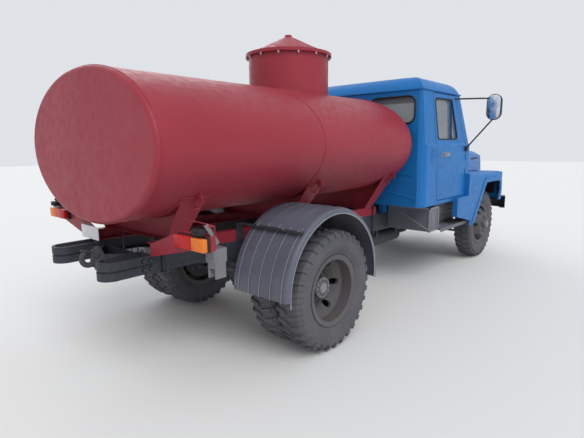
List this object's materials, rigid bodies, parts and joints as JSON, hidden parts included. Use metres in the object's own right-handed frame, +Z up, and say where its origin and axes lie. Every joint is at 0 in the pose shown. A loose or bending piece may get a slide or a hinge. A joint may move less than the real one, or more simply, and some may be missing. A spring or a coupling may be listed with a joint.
{
  "type": "bonneted tank truck",
  "caption": "Two-axle bonneted truck with a blue cab and a dark red oval tank with a round filler neck on its rear frame",
  "frame": {"origin": "centre of the bounding box at ground level", "axes": "+X forward, +Y to the driver's left, +Z up"},
  "size_m": [6.2, 2.689, 2.657],
  "materials": {
    "tank_paint": "dull dark red",
    "cab_paint": "worn mid blue gloss",
    "guard_paint": "charcoal satin",
    "frame_paint": "dusty black",
    "cast_metal": "dirty grey casting",
    "spring_steel": "rust-flecked black",
    "wheel_paint": "satin black with a grey hub",
    "tyre_rubber": "dry black rubber",
    "exhaust_steel": "rusted steel",
    "black_plastic": "matte black",
    "seat_cover": "dark cloth",
    "window_glass": "clear glass",
    "lamp_clear": "clear lens",
    "lamp_red": "red lens",
    "plate_white": "blank white plate"
  },
  "bodies": {
    "chassis": {"frame_rails": "frame_paint", "crossmembers": "frame_paint", "sub_rails": "tank_paint", "tank_saddles": "tank_paint", "tank_shell": "tank_paint", "tank_lugs": "tank_paint", "neck_lid": "tank_paint", "mudguards": "guard_paint", "mudguard_bars": "frame_paint", "rear_buffers": "frame_paint", "tow_hook": "cast_metal", "lamp_brackets": "tank_paint", "rear_lamps": "lamp_red", "number_plate": "plate_white", "leaf_springs": "spring_steel", "spring_brackets": "cast_metal", "rear_axle": "frame_paint", "front_axle": "frame_paint", "engine_block": "cast_metal", "radiator": "frame_paint", "propeller_shaft": "frame_paint", "battery_box": "frame_paint", "fuel_tank": "frame_paint", "silencer": "exhaust_steel", "front_grille": "black_plastic", "nose_panel": "cab_paint", "headlamps": "lamp_clear", "front_bumper": "frame_paint", "cab_shell": "cab_paint", "cab_glass": "window_glass", "front_fenders": "cab_paint", "steps": "frame_paint", "seats": "seat_cover", "dashboard": "black_plastic", "steering_wheel": "black_plastic"},
    "knuckle_left": {"knuckle_left": "cast_metal"},
    "front_wheel_left": {"front_rim_left": "wheel_paint", "front_tyre_left": "tyre_rubber"},
    "rear_wheels_left": {"rear_rims_left": "wheel_paint", "rear_tyres_left": "tyre_rubber"},
    "door_left": {"door_left": "cab_paint", "door_glass_left": "window_glass", "mirror_left": "black_plastic"},
    "knuckle_right": {"knuckle_right": "cast_metal"},
    "front_wheel_right": {"front_rim_right": "wheel_paint", "front_tyre_right": "tyre_rubber"},
    "rear_wheels_right": {"rear_rims_right": "wheel_paint", "rear_tyres_right": "tyre_rubber"},
    "door_right": {"door_right": "cab_paint", "door_glass_right": "window_glass", "mirror_right": "black_plastic"},
    "bonnet": {"bonnet": "cab_paint"},
    "track_rod": {"track_rod": "frame_paint"}
  },
  "joints": [
    {"name": "steer_left", "type": "hinge", "parent": "chassis", "child": "knuckle_left", "pos_m": [2.19, 0.69, 0.481], "axis": [0, 0, 1], "range_deg": [-34, 34]},
    {"name": "spin_front_left", "type": "hinge", "parent": "knuckle_left", "child": "front_wheel_left", "pos_m": [2.19, 0.815, 0.481], "axis": [0, 1, 0], "continuous": true},
    {"name": "spin_rear_left", "type": "hinge", "parent": "chassis", "child": "rear_wheels_left", "pos_m": [-1.58, 0.83, 0.481], "axis": [0, 1, 0], "continuous": true},
    {"name": "steer_right", "type": "hinge", "parent": "chassis", "child": "knuckle_right", "pos_m": [2.19, -0.69, 0.481], "axis": [0, 0, 1], "range_deg": [-34, 34]},
    {"name": "spin_front_right", "type": "hinge", "parent": "knuckle_right", "child": "front_wheel_right", "pos_m": [2.19, -0.815, 0.481], "axis": [0, 1, 0], "continuous": true},
    {"name": "spin_rear_right", "type": "hinge", "parent": "chassis", "child": "rear_wheels_right", "pos_m": [-1.58, -0.83, 0.481], "axis": [0, 1, 0], "continuous": true},
    {"name": "door_hinge_left", "type": "hinge", "parent": "chassis", "child": "door_left", "pos_m": [1.29, 0.972, 1.5], "axis": [0, 0, -1], "range_deg": [0, 70]},
    {"name": "door_hinge_right", "type": "hinge", "parent": "chassis", "child": "door_right", "pos_m": [1.29, -0.972, 1.5], "axis": [0, 0, 1], "range_deg": [0, 70]},
    {"name": "bonnet_hinge", "type": "hinge", "parent": "chassis", "child": "bonnet", "pos_m": [1.42, 0, 1.602], "axis": [0, -1, 0], "range_deg": [0, 50]},
    {"name": "track_rod_pivot", "type": "hinge", "parent": "knuckle_left", "child": "track_rod", "pos_m": [2.01, 0.69, 0.369], "axis": [0, 0, 1], "range_deg": [-34, 34]}
  ],
  "couplings": [
    {"joint": "steer_right", "follows": "steer_left", "ratio": 1},
    {"joint": "track_rod_pivot", "follows": "steer_left", "ratio": -1}
  ]
}
